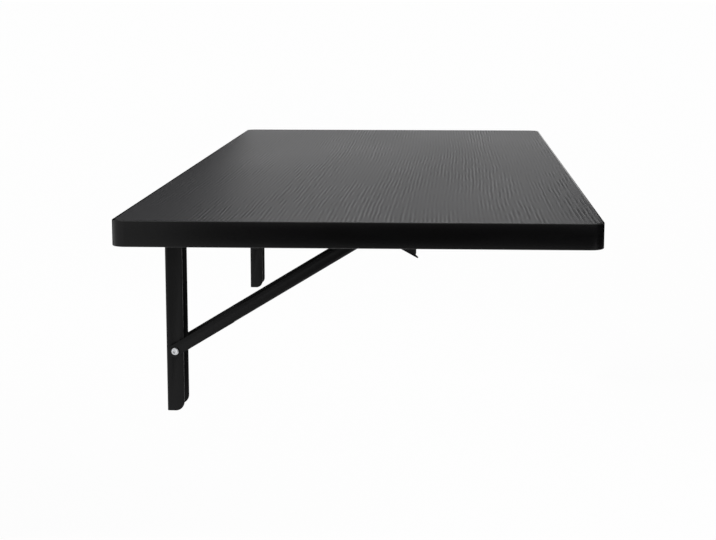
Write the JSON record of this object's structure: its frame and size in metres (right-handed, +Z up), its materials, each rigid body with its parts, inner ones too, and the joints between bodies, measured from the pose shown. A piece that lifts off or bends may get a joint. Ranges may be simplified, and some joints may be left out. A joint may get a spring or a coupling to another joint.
{
  "type": "wall-mounted folding workbench",
  "caption": "Black wood-grain worktop on steel folding brackets that screw to a wall; diagonal struts hold it level and it folds flat downwards when the levers are pushed.",
  "frame": {"origin": "on the wall plane, at the centre of the four outer wall holes", "axes": "+X out from the wall, +Y along the wall, +Z up"},
  "size_m": [0.5, 1.2, 0.241],
  "materials": {
    "core_board": "raw particle board",
    "wood_grain_laminate": "black wood-grain laminate, satin",
    "backing_sheet": "plain black backing sheet, matt",
    "black_edge_band": "black edge band, satin",
    "black_powder_coat": "black powder coat, satin",
    "bright_zinc": "bright zinc plate",
    "dark_zinc": "black zinc plate",
    "spring_steel": "spring steel wire",
    "nylon": "black nylon"
  },
  "bodies": {
    "wall_frame": {"wall_arm_near": "black_powder_coat", "wall_arm_far": "black_powder_coat", "hinge_pin_near": "dark_zinc", "hinge_pin_far": "dark_zinc", "hinge_spacers": "nylon", "strut_rivet_near": "bright_zinc", "strut_rivet_far": "bright_zinc", "strut_washers": "nylon"},
    "table": {"worktop_core": "core_board", "worktop_laminate": "wood_grain_laminate", "worktop_backing": "backing_sheet", "edge_band": "black_edge_band", "table_arm_near": "black_powder_coat", "table_arm_far": "black_powder_coat", "worktop_screws": "dark_zinc", "lever_rivets": "bright_zinc", "lever_spring_near": "spring_steel", "lever_spring_far": "spring_steel"},
    "strut_near": {"strut_near": "black_powder_coat", "slide_pin_near": "bright_zinc", "slide_sleeve_near": "nylon"},
    "strut_far": {"strut_far": "black_powder_coat", "slide_pin_far": "bright_zinc", "slide_sleeve_far": "nylon"},
    "release_lever_near": {"release_lever_near": "black_powder_coat"},
    "release_lever_far": {"release_lever_far": "black_powder_coat"}
  },
  "joints": [
    {"name": "fold", "type": "hinge", "parent": "wall_frame", "child": "table", "pos_m": [0.02, 0, 0.1], "axis": [0, 1, 0], "range_deg": [0, 90]},
    {"name": "strut_near_swing", "type": "hinge", "parent": "wall_frame", "child": "strut_near", "pos_m": [0.0105, -0.408, -0.0245], "axis": [0, 1, 0], "range_deg": [0, 118.71]},
    {"name": "strut_far_swing", "type": "hinge", "parent": "wall_frame", "child": "strut_far", "pos_m": [0.0105, 0.408, -0.0245], "axis": [0, 1, 0], "range_deg": [0, 118.71]},
    {"name": "release_lever_near_press", "type": "hinge", "parent": "table", "child": "release_lever_near", "pos_m": [0.256, -0.408, 0.112], "axis": [0, -1, 0], "range_deg": [0, 12], "stiffness_Nm_per_rad": 0.4, "springref_deg": -17.19, "deforming": ["lever_spring_near"]},
    {"name": "release_lever_far_press", "type": "hinge", "parent": "table", "child": "release_lever_far", "pos_m": [0.256, 0.408, 0.112], "axis": [0, -1, 0], "range_deg": [0, 12], "stiffness_Nm_per_rad": 0.4, "springref_deg": -17.19, "deforming": ["lever_spring_far"]}
  ],
  "couplings": [
    {"joint": "strut_near_swing", "follows": "fold", "ratio": 1.319},
    {"joint": "strut_far_swing", "follows": "fold", "ratio": 1.319}
  ]
}
